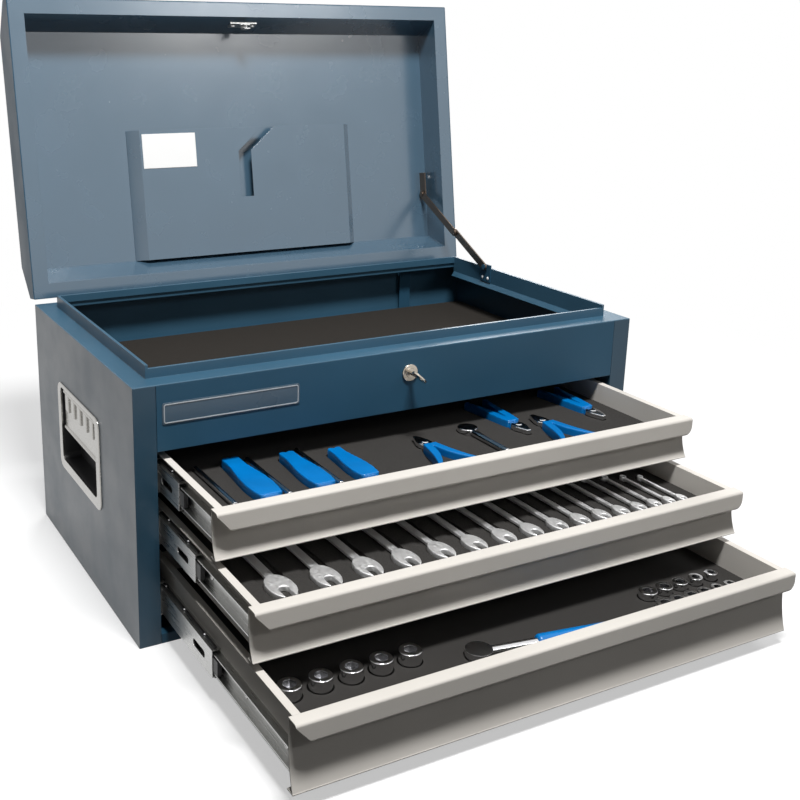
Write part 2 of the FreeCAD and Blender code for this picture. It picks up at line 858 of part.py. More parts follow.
def top_tools(level):
    """Pliers, punches and more pliers in the top drawer; level is the foam's top."""
    steel = []
    grips = []
    z = level + tool_stand - plier_thickness / 2
    for i, place in enumerate(plier_places):
        x = tool_left + place
        head, handles = pliers(plier_length - plier_step * i, plier_steel,
                               plier_grip - plier_grip_step * i, 0)
        steel.append(moved(head, x, tool_front, z))
        grips += [moved(h, x, tool_front, z) for h in handles]
        px = tool_left + punch_first + punch_pitch * i
        pz = level + punch_radius * punch_stand_share
        steel.append(rod(punch_radius, V(px, punch_front, pz), V(px, punch_front + punch_length, pz)))
    for x in (narrow_first, narrow_second):
        head, handles = pliers(narrow_length, spread_steel, spread_grip, narrow_lean)
        steel.append(moved(head, x, narrow_front, z))
        grips += [moved(h, x, narrow_front, z) for h in handles]
    for x in (wide_first, wide_second):
        head, handles = pliers(wide_length, spread_steel, spread_grip, wide_lean)
        middle = V(0, wide_length / 2, 0)
        steel.append(moved(head.rotated(middle, Z_AXIS, 180), x, wide_front, z))
        grips += [moved(h.rotated(middle, Z_AXIS, 180), x, wide_front, z) for h in handles]
    disc = rod(key_head, V(0, 0, -key_shank), V(0, 0, key_shank))
    shank = rod(key_shank, V(0, -key_shank_length, 0), V(0, 0, 0))
    steel.append(moved(fuse([disc, shank]), key_head_x, key_head_y, level + key_shank / 2))
    return steel, grips


def middle_tools(level):
    """Row of spanners, the largest at the left."""
    shapes = []
    x = tool_left + spanner_inset
    step = (spanner_width - spanner_least) / (spanner_count - 1)
    for i in range(spanner_count):
        size = spanner_width - step * i
        z = level + tool_stand * spanner_stand_share - spanner_thickness / 2
        shapes.append(moved(spanner(size), x, spanner_front, z))
        x += spanner_pitch_share * (size - step / 2)
    return shapes


def bottom_tools(level):
    """Sockets at both ends, with an extension bar and a ratchet in front of them."""
    chrome = []
    low = level + tool_stand + tool_sink - socket_length
    for i in range(socket_count):
        chrome.append(moved(socket(socket_radius, socket_length),
                            tool_left + socket_first + socket_pitch * i, socket_row, low))
    rows = [(small_back_count, small_back_pitch, small_back_row),
            (small_front_count, small_front_pitch, small_front_row)]
    for count, pitch, y in rows:
        for i in range(count):
            x = -tool_left - small_socket_inset - pitch * (count - 1 - i)
            r = small_socket_radius - small_socket_step * i
            chrome.append(moved(socket(r, socket_length), x, y, low - tool_sink))
    x = tool_left + extension_x
    z = level + extension_radius / 2
    chrome.append(rod(extension_radius, V(x, extension_y, z), V(x + extension_length, extension_y, z)))
    z = level + tool_stand * ratchet_stand_share
    head = rod(ratchet_head, V(0, 0, -ratchet_neck), V(0, 0, ratchet_neck))
    start = ratchet_length - ratchet_grip
    shank = rod(ratchet_neck, V(0, 0, 0), V(start, 0, 0))
    grip = rod(ratchet_grip_radius, V(start, 0, 0), V(ratchet_length, 0, 0))
    ends = [e for e in grip.Edges if e.Closed]
    grip = grip.makeFillet(ratchet_grip_radius * ratchet_round_share, ends)
    place = V(tool_left + ratchet_x, ratchet_y, z)
    steel = fuse([head, shank]).rotated(V(0, 0, 0), Z_AXIS, ratchet_lean)
    chrome.append(steel.translated(place))
    return chrome, [grip.rotated(V(0, 0, 0), Z_AXIS, ratchet_lean).translated(place)]


def build_drawers():
    for name, lip, tall, drop, pull, foam_drop in DRAWERS:
        shift = V(0, drawer_back - pull, lip)
        level = -foam_drop
        if name == "top":
            steel, grips = top_tools(level)
            groups = [("top_tray_tool_steel", steel), ("top_tray_tool_grips", grips)]
        elif name == "middle":
            groups = [("middle_tray_spanners", middle_tools(level))]
        else:
            chrome, grips = bottom_tools(level)
            groups = [("bottom_tray_sockets", chrome), ("bottom_tray_ratchet_grip", grips)]
        groups = [(node, [fitted(s, level) for s in shapes]) for node, shapes in groups]
        foam = foam_block(tall, foam_drop)
        pockets = [pocket_for(s, level) for _, shapes in groups for s in shapes]
        foam = cut(foam, pockets)
        save(name + "_drawer_foam", [foam.translated(shift)])
        for node, shapes in groups:
            save(node, [s.translated(shift) for s in shapes])
        save(name + "_drawer_front", [drawer_front(tall).translated(shift)])
        save(name + "_drawer_tray", [drawer_tray(tall).translated(shift)])


# Lid, drawn closed and swung open when it is saved

def lid_outline(inset):
    """The lid's side view, shrunk by a wall."""
    z0 = lid_z
    slope = math.hypot(lid_bevel, lid_height - lid_skirt)
    turn = inset * (slope - lid_bevel) / (lid_height - lid_skirt)
    top_turn = inset * (slope - (lid_height - lid_skirt)) / lid_bevel
    skirt = z0 + lid_skirt - turn
    top = z0 + lid_height - inset
    run = lid_bevel + top_turn
    return [(front + inset, z0 - (overrun if inset else 0)), (front + inset, skirt),
            (front + run, top), (back - run, top), (back - inset, skirt),
            (back - inset, z0 - (overrun if inset else 0))]


def lid_shell():
    """Outer skin: top, bevelled front and back, and flat ends."""
    skin = prism_x(lid_outline(0), left, right)
    edges = [e for e in skin.Edges if e.CenterOfMass.z > lid_z + lid_skirt / 4]
    skin = skin.makeFillet(edge_round, edges)
    hollow = prism_x(lid_outline(sheet), left + sheet, right - sheet)
    return skin.cut(hollow)


def funnel(side, low_front, slope, z0, z1):
    """A block with upright ends and sloping front and back."""
    points = [(front + low_front, z0), (front + low_front + slope, z1),
              (back - low_front - slope, z1), (back - low_front, z0)]
    return prism_x(points, left + side, right - side)


def lid_rim_frame():
    """Flat rim that rests over the ledge, and the inner walls that rise to the inner panel."""
    flange = ring(sheet, sheet, lid_rim_side - sheet, lid_rim_front - sheet, lid_z, lid_z + sheet)
    top = lid_z + lid_inner_height
    walls = funnel(lid_rim_side - sheet, lid_rim_front - sheet, lid_inner_slope, lid_z, top)
    grow = lid_inner_slope * overrun / lid_inner_height
    hollow = funnel(lid_rim_side, lid_rim_front - grow, lid_inner_slope + 2 * grow,
                    lid_z - overrun, top + overrun)
    return fuse([flange, walls.cut(hollow)])


def lid_inner_panel():
    z0 = lid_z + lid_inner_height
    inset = lid_rim_front - sheet + lid_inner_slope
    return box(left + lid_rim_side - sheet, right - lid_rim_side + sheet,
               front + inset, back - inset, z0, z0 + sheet)


def along_lid(distance):
    """Y of a point that lies this far from the lid's back edge."""
    return back - distance


def document_pocket():
    """Shallow open-topped pocket with slanted ends and a hook slot through its face."""
    z1 = lid_z + lid_inner_height
    z0 = z1 - pocket_depth
    x0 = left + pocket_inset

    def tub(grow, floor, y_low, y_high):
        points = [(x0 + grow, z1), (x0 + pocket_slant + grow, floor),
                  (-x0 - pocket_slant - grow, floor), (-x0 - grow, z1)]
        return prism_y(points, y_high, y_low)

    skin = tub(0, z0, along_lid(pocket_low), along_lid(pocket_high))
    inside = tub(pocket_sheet, z0 + pocket_sheet, along_lid(pocket_low) - pocket_sheet,
                 along_lid(pocket_high) - overrun)
    sx = left + hook_slot_left
    low = along_lid(hook_slot_low)
    high = along_lid(hook_slot_high)
    rim = along_lid(pocket_high) - overrun
    slot = prism_z([(sx, low), (sx + hook_slot_width, low), (sx + hook_slot_width, high),
                    (sx + hook_slot_width + hook_mouth_shift, rim), (sx + hook_mouth_shift, rim),
                    (sx, high)], z0 - overrun, z0 + pocket_depth / 2)
    return cut(skin, [inside, slot])


def label_plate():
    z1 = lid_z + lid_inner_height - pocket_depth
    return box(left + card_left, left + card_left + card_width,
               along_lid(card_low + card_height), along_lid(card_low), z1 - card_thickness, z1)


def catch_wall_y(z):
    """Front inner wall of the lid at a height."""
    return front + lid_rim_front + lid_inner_slope * (z - lid_z) / lid_inner_height


def lid_catch():
    """Bracket that carries the cross pin for the cam, with its two screws."""
    pin_z = lock_z + cam_reach
    z0 = lip_top + catch_head_gap
    z1 = z0 + catch_plate_height
    half = catch_plate_length / 2
    plate = prism_x([(catch_wall_y(z0), z0), (catch_wall_y(z1), z1),
                     (catch_wall_y(z1) + catch_plate, z1), (catch_wall_y(z0) + catch_plate, z0)],
                    -half, half)
    leg_front = cam_y - catch_leg_gap - catch_leg
    leg_back = cam_y + cam_thickness + catch_leg_gap
    arm_half = catch_leg_width / 2
    arm = box(-arm_half, arm_half, catch_wall_y(z0) + catch_plate / 2, leg_back + catch_leg,
              z0, z0 + catch_leg)
    legs = [box(-arm_half, arm_half, y, y + catch_leg, pin_z - catch_leg_drop, z0 + catch_leg)
            for y in (leg_front, leg_back)]
    pin = rod(catch_pin, V(0, leg_front, pin_z), V(0, leg_back + catch_leg, pin_z))
    shapes = [fuse([plate, arm, pin] + legs)]
    for side in (-1, 1):
        x = side * catch_screw_spacing / 2
        z = z0 + catch_plate_height / 2
        y = catch_wall_y(z) + catch_plate * catch_screw_foot_share
        reach = screw_head_height + catch_plate * catch_screw_reach_share
        head = rod(screw_head, V(x, y, z), V(x, y + reach, z))
        shapes.append(head.cut(shapes[0]))
    return shapes


# Piano hinge

def hinge_segments(first):
    """The x limits of every second knuckle."""
    x0 = left + hinge_margin
    pitch = (width - 2 * hinge_margin) / hinge_knuckles
    return [(x0 + pitch * i + knuckle_gap / 2, x0 + pitch * (i + 1) - knuckle_gap / 2)
            for i in range(first, hinge_knuckles, 2)]


def hinge_leaf_shape(first, way, leaf):
    """One leaf with its knuckles; way is -1 for the cabinet's leaf and 1 for the lid's."""
    x0 = left + hinge_margin
    near = lid_z + way * (knuckle_radius + knuckle_gap)
    far = lid_z + way * leaf
    strip = box(x0, -x0, back, back + sheet, min(near, far), max(near, far))
    tabs = []
    for xa, xb in hinge_segments(first):
        tabs.append(box(xa, xb, back, back + sheet, min(near, lid_z), max(near, lid_z)))
        tabs.append(rod(knuckle_radius, V(xa, hinge_y, lid_z), V(xb, hinge_y, lid_z)))
    bore = rod(pin_radius + running_clearance, V(x0 - overrun, hinge_y, lid_z),
               V(-x0 + overrun, hinge_y, lid_z))
    return cut(fuse([strip] + tabs), [bore])


def hinge_pin():
    x0 = left + hinge_margin
    return rod(pin_radius, V(x0, hinge_y, lid_z), V(-x0, hinge_y, lid_z))


# Lid stay: two arms between a cabinet bracket and a lid bracket

def stay_layout():
    """Pivot places and arm lengths, and how far each arm turns when the lid closes."""
    low = V(0, stay_low_y, stay_low_z)
    lid_closed = V(0, hinge_y - stay_lid_along, lid_z + stay_lid_up)
    angle = math.radians(-lid_open)
    rel = lid_closed - hinge_point
    lid_pivot = V(0, hinge_y + rel.y * math.cos(angle) - rel.z * math.sin(angle),
                  lid_z + rel.y * math.sin(angle) + rel.z * math.cos(angle))
    span = (lid_pivot - low).Length
    lower = span * stay_lower_share
    upper = span - lower
    elbow = low + (lid_pivot - low) * stay_lower_share
    open_angle = math.degrees(math.atan2(lid_pivot.z - low.z, lid_pivot.y - low.y))
    folded = (lid_closed - low).Length
    bend = math.degrees(math.acos((lower ** 2 + folded ** 2 - upper ** 2) / (2 * lower * folded)))
    lower_closed = math.degrees(math.atan2(lid_closed.z - low.z, lid_closed.y - low.y)) + bend
    tip = low + V(0, math.cos(math.radians(lower_closed)), math.sin(math.radians(lower_closed))) * lower
    upper_closed = math.degrees(math.atan2(tip.z - lid_closed.z, tip.y - lid_closed.y)) % 360
    lower_turn = lower_closed - open_angle
    upper_turn = upper_closed - (open_angle + 180) - lid_open
    return low, lid_pivot, elbow, lower_turn, upper_turn


def stay_bar(start, end, x0, pivot):
    """A flat arm with round ends from one point to another, bored at its pivot."""
    r = stay_arm_width / 2
    along = (end - start).normalize()
    side = V(0, -along.z, along.y) * r
    corners = [start + side, end + side, end - side, start - side]
    flat = prism_x([(c.y, c.z) for c in corners], x0, x0 + stay_arm)
    ends = [rod_x(r, p, x0, x0 + stay_arm) for p in (start, end)]
    hole = rod_x(stay_rivet + running_clearance, pivot, x0 - overrun, x0 + stay_arm + overrun)
    return cut(fuse([flat] + ends), [hole])


def build_stay():
    low, lid_pivot, elbow, lower_turn, upper_turn = stay_layout()
    lower_x = right - stay_inset - stay_arm / 2
    upper_x = lower_x - stay_arm_gap - stay_arm
    outer_x = lower_x + stay_arm
    lower = stay_bar(low, elbow, lower_x, low)
    lower_head = rod_x(stay_rivet_head, elbow, outer_x, outer_x + stay_head_height)
    save("stay_lower_arm", fuse([lower, lower_head]))
    upper = stay_bar(elbow, lid_pivot, upper_x, lid_pivot)
    upper_head = rod_x(stay_rivet_head, elbow, upper_x - stay_head_height, upper_x)
    save("stay_upper_arm", fuse([upper, upper_head]))

    face_x = right - ledge_side - lip_fold
    half = stay_bracket_width / 2
    plate = box(face_x - stay_bracket, face_x, low.y - half, low.y + half,
                low.z - stay_bracket_drop, low.z + stay_rivet_head)
    near_x = lower_x - running_clearance
    far_x = outer_x + running_clearance
    stud = [rod_x(stay_rivet, low, near_x, far_x),
            rod_x(stay_rivet_head, low, near_x - stay_head_height, near_x),
            rod_x(stay_rivet_head, low, far_x, face_x - stay_bracket)]
    save("stay_cabinet_bracket", fuse([plate] + stud))

    pivot = V(0, hinge_y - stay_lid_along, lid_z + stay_lid_up)
    ear_x = upper_x + stay_arm + stay_arm_gap
    panel_z = lid_z + lid_inner_height
    y0 = pivot.y - stay_foot_reach
    y1 = pivot.y + stay_foot
    ear = box(ear_x, ear_x + stay_bracket, y0, y1, pivot.z - stay_foot, panel_z)
    foot = box(ear_x, ear_x + stay_foot, y0, y1, panel_z - stay_bracket, panel_z)
    rivet_at = V(ear_x + stay_bracket + (stay_foot - stay_bracket) / 2, y0 + stay_foot,
                 panel_z - stay_bracket)
    rivet = rod((stay_foot - stay_bracket) / 2, rivet_at - V(0, 0, stay_head_height), rivet_at)
    near_x = upper_x - running_clearance
    pin = [rod_x(stay_rivet, pivot, near_x, ear_x),
           rod_x(stay_rivet_head, pivot, near_x - stay_head_height, near_x)]
    save("stay_lid_bracket", lifted(fuse([ear, foot, rivet] + pin)))
    print("stay low pivot", low, "lid pivot", lid_pivot)
    print("stay turns, lower and upper", lower_turn, upper_turn)


# Cam lock

def build_lock():
    face = V(0, front, lock_z)

    def axis_rod(radius, y0, y1):
        return rod(radius, face + V(0, y0, 0), face + V(0, y1, 0))

    barrel = fuse([axis_rod(lock_flange, -lock_flange_thickness, 0),
                   axis_rod(lock_body, -lock_flange_thickness, lock_length)])
    rim = [e for e in barrel.Edges if e.Closed and abs(e.CenterOfMass.y - front
                                                       + lock_flange_thickness) < core_front / 2]
    barrel = barrel.makeFillet(core_front, rim)
    barrel = barrel.cut(axis_rod(lock_core + running_clearance, -overrun, lock_length + overrun))
    save("lock_barrel", barrel)
    corners = [(x, lock_z + z) for x, z in hexagon(lock_nut_flat / math.sqrt(3))]
    nut = prism_y(corners, front + sheet, front + sheet + lock_nut_thickness)
    save("lock_nut", nut.cut(axis_rod(lock_body, 0, lock_length)))
    core_start = -lock_flange_thickness - core_front
    core = axis_rod(lock_core, core_start, lock_length + cam_gap + cam_thickness + core_back)
    keyway = box(-keyway_width / 2, keyway_width / 2, front + core_start - overrun,
                 front + core_start + key_blade + key_play, lock_z - keyway_height / 2,
                 lock_z + keyway_height / 2)
    save("lock_cylinder", core.cut(keyway).rotated(face, Y_AXIS, key_lean))
    blade_half = keyway_width / 2 - key_play
    blade_tall = keyway_height / 2 - key_play
    tip = front + core_start + key_blade
    shoulder = front + core_start - key_neck
    blade = box(-blade_half, blade_half, shoulder, tip, lock_z - blade_tall, lock_z + blade_tall)
    bow_y = shoulder - key_bow + key_play
    bow = rod(key_bow, V(-blade_half, bow_y, lock_z), V(blade_half, bow_y, lock_z))
    hole = rod(key_hole, V(-blade_half - overrun, bow_y - key_bow / 2, lock_z),
               V(blade_half + overrun, bow_y - key_bow / 2, lock_z))
    save("lock_key", fuse([blade, bow]).cut(hole).rotated(face, Y_AXIS, key_lean))
    half = cam_width / 2
    hub = axis_rod(lock_body, lock_length + cam_gap, lock_length + cam_gap + cam_thickness)
    arm = box(-cam_reach - cam_tip, 0, cam_y, cam_y + cam_thickness, lock_z - half, lock_z + half)
    notch = box(-cam_reach - cam_notch / 2, -cam_reach + cam_notch / 2, cam_y - overrun,
                cam_y + cam_thickness + overrun, lock_z - cam_notch_past, lock_z + half + overrun)
    bore = axis_rod(lock_core, lock_length, lock_length + overrun)
    save("lock_cam", cut(fuse([hub, arm]), [notch, bore]))


# Carrying handles

def build_handles():
    c = handle_centre()
    half = handle_length / 2
    tall = handle_height / 2
    open_half = half - bezel
    low, high = handle_window()
    out = left - bezel_proud
    frame = rounded_box(out, left, c.y - half, c.y + half, c.z - tall, c.z + tall,
                        handle_corner, X_AXIS)
    outer_edges = [e for e in frame.Edges if abs(e.CenterOfMass.x - out) < bezel_proud / 4]
    frame = frame.makeFillet(bezel_proud * bezel_round_share, outer_edges)
    window = rounded_box(out - overrun, left + overrun, c.y - open_half, c.y + open_half,
                         low, high, cup_corner, X_AXIS)
    frame = frame.cut(window)
    save("handle_bezels", [frame, mirrored(frame)])
    cup_half = open_half + cup_wall
    block = box(left, left + cup_depth, c.y - cup_half, c.y + cup_half,
                low - cup_wall, high + cup_wall)
    hollow = rounded_box(left - overrun, left + cup_depth - cup_wall, c.y - open_half,
                         c.y + open_half, low, high, cup_corner, X_AXIS)
    axis_x = left + grip_axis_depth
    axis_z = high - grip_axis_drop
    pin_half_length = cup_half
    pin = rod(grip_pin, V(axis_x, c.y - pin_half_length, axis_z),
              V(axis_x, c.y + pin_half_length, axis_z))
    cup = block.cut(hollow).cut(pin)
    save("handle_cups", [cup, mirrored(cup)])
    save("handle_pins", [pin, mirrored(pin)])
    half_grip = grip_length / 2
    plate = box(axis_x - grip_thickness / 2, axis_x + grip_thickness / 2, c.y - half_grip,
                c.y + half_grip, axis_z - grip_drop, axis_z)
    barrel = rod(grip_barrel, V(axis_x, c.y - half_grip, axis_z), V(axis_x, c.y + half_grip, axis_z))
    roll = rod(grip_roll, V(axis_x, c.y - half_grip, axis_z - grip_drop),
               V(axis_x, c.y + half_grip, axis_z - grip_drop))
    ribs = []
    first = c.y - grip_rib_pitch * (grip_ribs - 1) / 2
    rib_x = axis_x - grip_thickness / 2
    for i in range(grip_ribs):
        y = first + grip_rib_pitch * i
        rib = box(rib_x - grip_rib_depth, rib_x, y - grip_rib_width / 2, y + grip_rib_width / 2,
                  axis_z - grip_rib_height, axis_z)
        outer = [e for e in rib.Edges if abs(e.CenterOfMass.x - rib_x + grip_rib_depth)
                 < grip_rib_depth / 4]
        ribs.append(rib.makeFillet(grip_rib_depth * grip_rib_round_share, outer))
    bore = rod(grip_pin + running_clearance, V(axis_x, c.y - half, axis_z),
               V(axis_x, c.y + half, axis_z))
    grip = cut(fuse([plate, barrel, roll] + ribs), [bore])
    save("left_handle_grip", grip)
    save("right_handle_grip", mirrored(grip))
    print("grip axis x, z", axis_x, axis_z)


# Locking bar

def build_lock_bar():
    """Bar with a tongue and a pin over each closed drawer's tab, and the leaf spring under it."""
    half = bar_width / 2
    y0 = bar_y - bar_thickness
    pieces = [box(bar_x - half, bar_x + half, y0, bar_y, bar_foot,
                  lid_z + bar_travel - foam_clearance)]
    slot_y = drawer_back + drawer_depth + tab_length / 2
    for _, lip, _, _, _, _ in DRAWERS:
        pin_low = lip - tab_drop + tab_clear
        tongue_low = lip - tab_drop + bar_travel + bar_play
        pieces.append(box(bar_x - pin_half, bar_x + pin_half, slot_y - pin_depth / 2,
                          slot_y + pin_depth / 2, pin_low, tongue_low))
        pieces.append(box(bar_x - pin_half, bar_x + pin_half, slot_y - pin_depth / 2, y0,
                          tongue_low, tongue_low + tongue_thickness))
    foot_reach = leaf_spring_width / 2
    pieces.append(box(bar_x - half, bar_x + half, y0 - foot_reach, y0, bar_foot,
                      bar_foot + bar_thickness))
    save("drawer_lock_bar", fuse(pieces))
    rise = bar_foot - sheet
    span = leaf_spring_span / 2
    t = leaf_spring

    def arch(offset):
        return [V(bar_x - span + offset, 0, sheet), V(bar_x, 0, sheet + rise - offset),
                V(bar_x + span - offset, 0, sheet)]

    a, b, c = arch(0)
    d, e, f = arch(t)
    edges = [Part.Arc(a, b, c).toShape(), Part.makeLine(c, f), Part.Arc(f, e, d).toShape(),
             Part.makeLine(d, a)]
    spring = face_of(edges).extrude(V(0, leaf_spring_width / 2, 0))
    save("lock_bar_spring", moved(spring, 0, y0 - foot_reach, 0))


os.makedirs("parts", exist_ok=True)

left_side = side_panel()
save("left_side_panel", left_side)
save("right_side_panel", mirrored(left_side))
save("back_panel", back_panel())
save("base_pan", base_pan())
save("front_fascia", front_fascia())
save("top_rim_frame", top_rim_frame())
save("tray_floor", tray_floor())
save("tray_liner", tray_liner())
save("name_plate", name_plate())
save("slide_uprights", slide_uprights())
build_slides()
build_drawers()
save("lid_shell", lifted(lid_shell()))
save("lid_rim_frame", lifted(lid_rim_frame()))
save("lid_inner_panel", lifted(lid_inner_panel()))
save("document_pocket", lifted(document_pocket()))
save("label_plate", lifted(label_plate()))
save("lid_catch", [lifted(s) for s in lid_catch()])
save("hinge_cabinet_leaf", hinge_leaf_shape(0, -1, hinge_leaf))
save("hinge_lid_leaf", lifted(hinge_leaf_shape(1, 1, hinge_lid_leaf)))
save("hinge_pin", hinge_pin())
build_stay()
build_lock()
build_handles()
build_lock_bar()
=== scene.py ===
import math

import bmesh
import bpy
from mathutils import Matrix, Vector
from mathutils.geometry import convex_hull_2d


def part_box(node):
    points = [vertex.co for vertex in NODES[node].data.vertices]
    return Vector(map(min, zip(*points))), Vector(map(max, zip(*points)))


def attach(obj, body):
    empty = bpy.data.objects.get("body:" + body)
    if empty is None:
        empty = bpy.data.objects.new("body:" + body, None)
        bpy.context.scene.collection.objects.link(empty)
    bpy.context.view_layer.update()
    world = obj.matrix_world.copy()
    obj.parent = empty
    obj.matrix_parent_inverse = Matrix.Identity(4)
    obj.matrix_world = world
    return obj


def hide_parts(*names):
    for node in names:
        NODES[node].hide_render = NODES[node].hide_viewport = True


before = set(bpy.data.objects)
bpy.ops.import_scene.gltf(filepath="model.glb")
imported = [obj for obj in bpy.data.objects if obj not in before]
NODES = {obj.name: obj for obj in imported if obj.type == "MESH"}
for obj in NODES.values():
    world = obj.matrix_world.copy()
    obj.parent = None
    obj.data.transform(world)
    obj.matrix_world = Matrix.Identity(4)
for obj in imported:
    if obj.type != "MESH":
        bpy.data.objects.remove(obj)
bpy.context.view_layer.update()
mm = 0.001

DRAWERS = ("bottom", "middle", "top")


# Materials

PAINT_EDGE = 0.7 * mm
METAL_EDGE = 0.4 * mm
COAT_ROUGHNESS = 0.18
PEEL = 0.03 * mm
PAINT_GRAIN = 900.0
FOAM_GRAIN = 1600.0
FOAM_CELLS = 0.3 * mm


def shader_nodes(name):
    """A new material, its node tree and its shader."""
    material = bpy.data.materials.new(name)
    material.use_nodes = True
    tree = material.node_tree
    return material, tree, tree.nodes["Principled BSDF"]


def add_node(tree, kind, **values):
    node = tree.nodes.new(kind)
    for key, value in values.items():
        setattr(node, key, value)
    return node


def noise(tree, scale, detail, rough=0.5, stretch=(1, 1, 1)):
    """Noise in the object's own coordinates, in metres."""
    coords = add_node(tree, "ShaderNodeTexCoord")
    mapping = add_node(tree, "ShaderNodeMapping")
    mapping.inputs["Scale"].default_value = stretch
    tree.links.new(coords.outputs["Object"], mapping.inputs["Vector"])
    texture = add_node(tree, "ShaderNodeTexNoise")
    texture.inputs["Scale"].default_value = scale
    texture.inputs["Detail"].default_value = detail
    texture.inputs["Roughness"].default_value = rough
    tree.links.new(mapping.outputs["Vector"], texture.inputs["Vector"])
    return texture.outputs["Fac"]


def ramp(tree, source, stops):
    """A colour ramp: each stop is (place, colour)."""
    node = add_node(tree, "ShaderNodeValToRGB")
    tree.links.new(source, node.inputs["Fac"])
    elements = node.color_ramp.elements
    while len(elements) < len(stops):
        elements.new(0.5)
    for element, (place, colour) in zip(elements, stops):
        element.position = place
        element.color = (*colour, 1)
    return node.outputs["Color"]


def grey(value):
    return (value, value, value)


def shade(colour, factor):
    return tuple(channel * factor for channel in colour)


def bump(tree, shader, source, height, strength=1.0, edge=0.0):
    """Fine relief, over edges that catch the light as if they were rounded by edge."""
    node = add_node(tree, "ShaderNodeBump")
    node.inputs["Distance"].default_value = height
    node.inputs["Strength"].default_value = strength
    if edge:
        rounded = add_node(tree, "ShaderNodeBevel", samples=6)
        rounded.inputs["Radius"].default_value = edge
        tree.links.new(rounded.outputs["Normal"], node.inputs["Normal"])
    tree.links.new(source, node.inputs["Height"])
    tree.links.new(node.outputs["Normal"], shader.inputs["Normal"])


def paint(name, colour, roughness, coat, specular=0.5, variation=0.08):
    """Sprayed paint: slight colour drift, orange peel, and a clear top coat."""
    material, tree, shader = shader_nodes(name)
    shader.inputs["Specular IOR Level"].default_value = specular
    drift = noise(tree, 6.0, 3.0)
    tone = ramp(tree, drift, [(0.3, shade(colour, 1 - variation)), (0.7, shade(colour, 1 + variation))])
    tree.links.new(tone, shader.inputs["Base Color"])
    smudge = noise(tree, 18.0, 4.0)
    gloss = ramp(tree, smudge, [(0.35, grey(roughness - 0.04)), (0.7, grey(roughness + 0.05))])
    tree.links.new(gloss, shader.inputs["Roughness"])
    bump(tree, shader, noise(tree, PAINT_GRAIN, 2.0), PEEL, 0.6, PAINT_EDGE)
    shader.inputs["Coat Weight"].default_value = coat
    shader.inputs["Coat Roughness"].default_value = COAT_ROUGHNESS
    return material


def metal(name, colour, roughness, streak=(1, 1, 1), scale=400.0, depth=0.00002):
    """Bare or plated metal with fine brushing along one axis."""
    material, tree, shader = shader_nodes(name)
    shader.inputs["Metallic"].default_value = 1.0
    drift = noise(tree, 25.0, 3.0)
    tone = ramp(tree, drift, [(0.3, shade(colour, 0.9)), (0.7, colour)])
    tree.links.new(tone, shader.inputs["Base Color"])
    brushing = noise(tree, scale, 3.0, 0.6, streak)
    gloss = ramp(tree, brushing, [(0.3, grey(roughness * 0.8)), (0.7, grey(roughness * 1.25))])
    tree.links.new(gloss, shader.inputs["Roughness"])
    bump(tree, shader, brushing, depth, 0.4, METAL_EDGE)
    return material


def plastic(name, colour, roughness, grain=1500.0, depth=0.00004, coat=0.0):
    """Moulded plastic with a fine grain."""
    material, tree, shader = shader_nodes(name)
    drift = noise(tree, 30.0, 3.0)
    tone = ramp(tree, drift, [(0.3, shade(colour, 0.88)), (0.7, shade(colour, 1.08))])
    tree.links.new(tone, shader.inputs["Base Color"])
    shader.inputs["Roughness"].default_value = roughness
    shader.inputs["Coat Weight"].default_value = coat
    bump(tree, shader, noise(tree, grain, 2.0), depth, 0.5)
    return material


def foam_material(name, colour):
    """Closed-cell foam: very rough, with small open cells on its cut faces."""
    material, tree, shader = shader_nodes(name)
    cells = noise(tree, FOAM_GRAIN, 4.0, 0.7)
    tone = ramp(tree, cells, [(0.35, shade(colour, 0.5)), (0.65, shade(colour, 1.5))])
    tree.links.new(tone, shader.inputs["Base Color"])
    shader.inputs["Roughness"].default_value = 0.95
    shader.inputs["Specular IOR Level"].default_value = 0.2
    bump(tree, shader, cells, FOAM_CELLS, 0.8)
    return material


BLUE = paint("blue_paint", (0.023, 0.077, 0.130), 0.40, 0.0, 0.22)
# Painted light: a lighter, glossier copy of the blue paint, so the rim frame and back panel render
# brighter than the same blue elsewhere.
LIT_BLUE = paint("lit_blue_paint", (0.036, 0.100, 0.158), 0.34, 0.0, 0.45)
# Painted shade: a darker copy of the blue paint on the side panels, which face away from the light.
SHADED_SIDE_BLUE = paint("shaded_side_blue_paint", (0.020, 0.058, 0.094), 0.32, 0.0, 0.40)
# Painted light: a lighter copy of the blue paint for the lid's inside, which faces the lamps; the full
# clear coat is its own finish.
LIT_LID_BLUE = paint("lit_lid_blue_paint", (0.056, 0.112, 0.166), 0.25, 1.0, 0.95, 0.04)
DRAWER = paint("drawer_paint", (0.64, 0.61, 0.565), 0.55, 0.0, 0.08, 0.04)
ZINC = metal("zinc_steel", (0.46, 0.46, 0.45), 0.30, (1, 0.05, 1))
STAY = metal("stay_steel", (0.20, 0.155, 0.125), 0.36)
CHROME = metal("bright_chrome", (0.80, 0.80, 0.81), 0.14, (1, 0.2, 1), 200.0, 0.00001)
SATIN = metal("satin_chrome", (0.90, 0.90, 0.90), 0.52, (1, 1, 1), 300.0, 0.00001)
# Painted reflection: chrome darkened to stand in for the dark surroundings that the handle bezels and
# grips reflect.
DARK_REFLECTION_CHROME = metal("dark_reflection_chrome", (0.40, 0.39, 0.37), 0.24)
LOCK_CHROME = metal("lock_chrome", (0.55, 0.50, 0.43), 0.22)
BLACK = plastic("black_plastic", (0.012, 0.012, 0.013), 0.45)
GRIP = plastic("grip_blue", (0.0, 0.17, 0.50), 0.30, 900.0, 0.00003, 0.2)
FOAM = foam_material("inlay_foam", (0.034, 0.032, 0.030))
FELT = foam_material("tray_mat", (0.022, 0.019, 0.016))
PLATE = paint("plate_print", (0.045, 0.085, 0.125), 0.30, 0.3)
TRIM = paint("plate_trim", (0.42, 0.45, 0.47), 0.35, 0.2)
CARD = paint("label_card", (0.95, 0.95, 0.94), 0.4, 0.3, 0.5, 0.01)

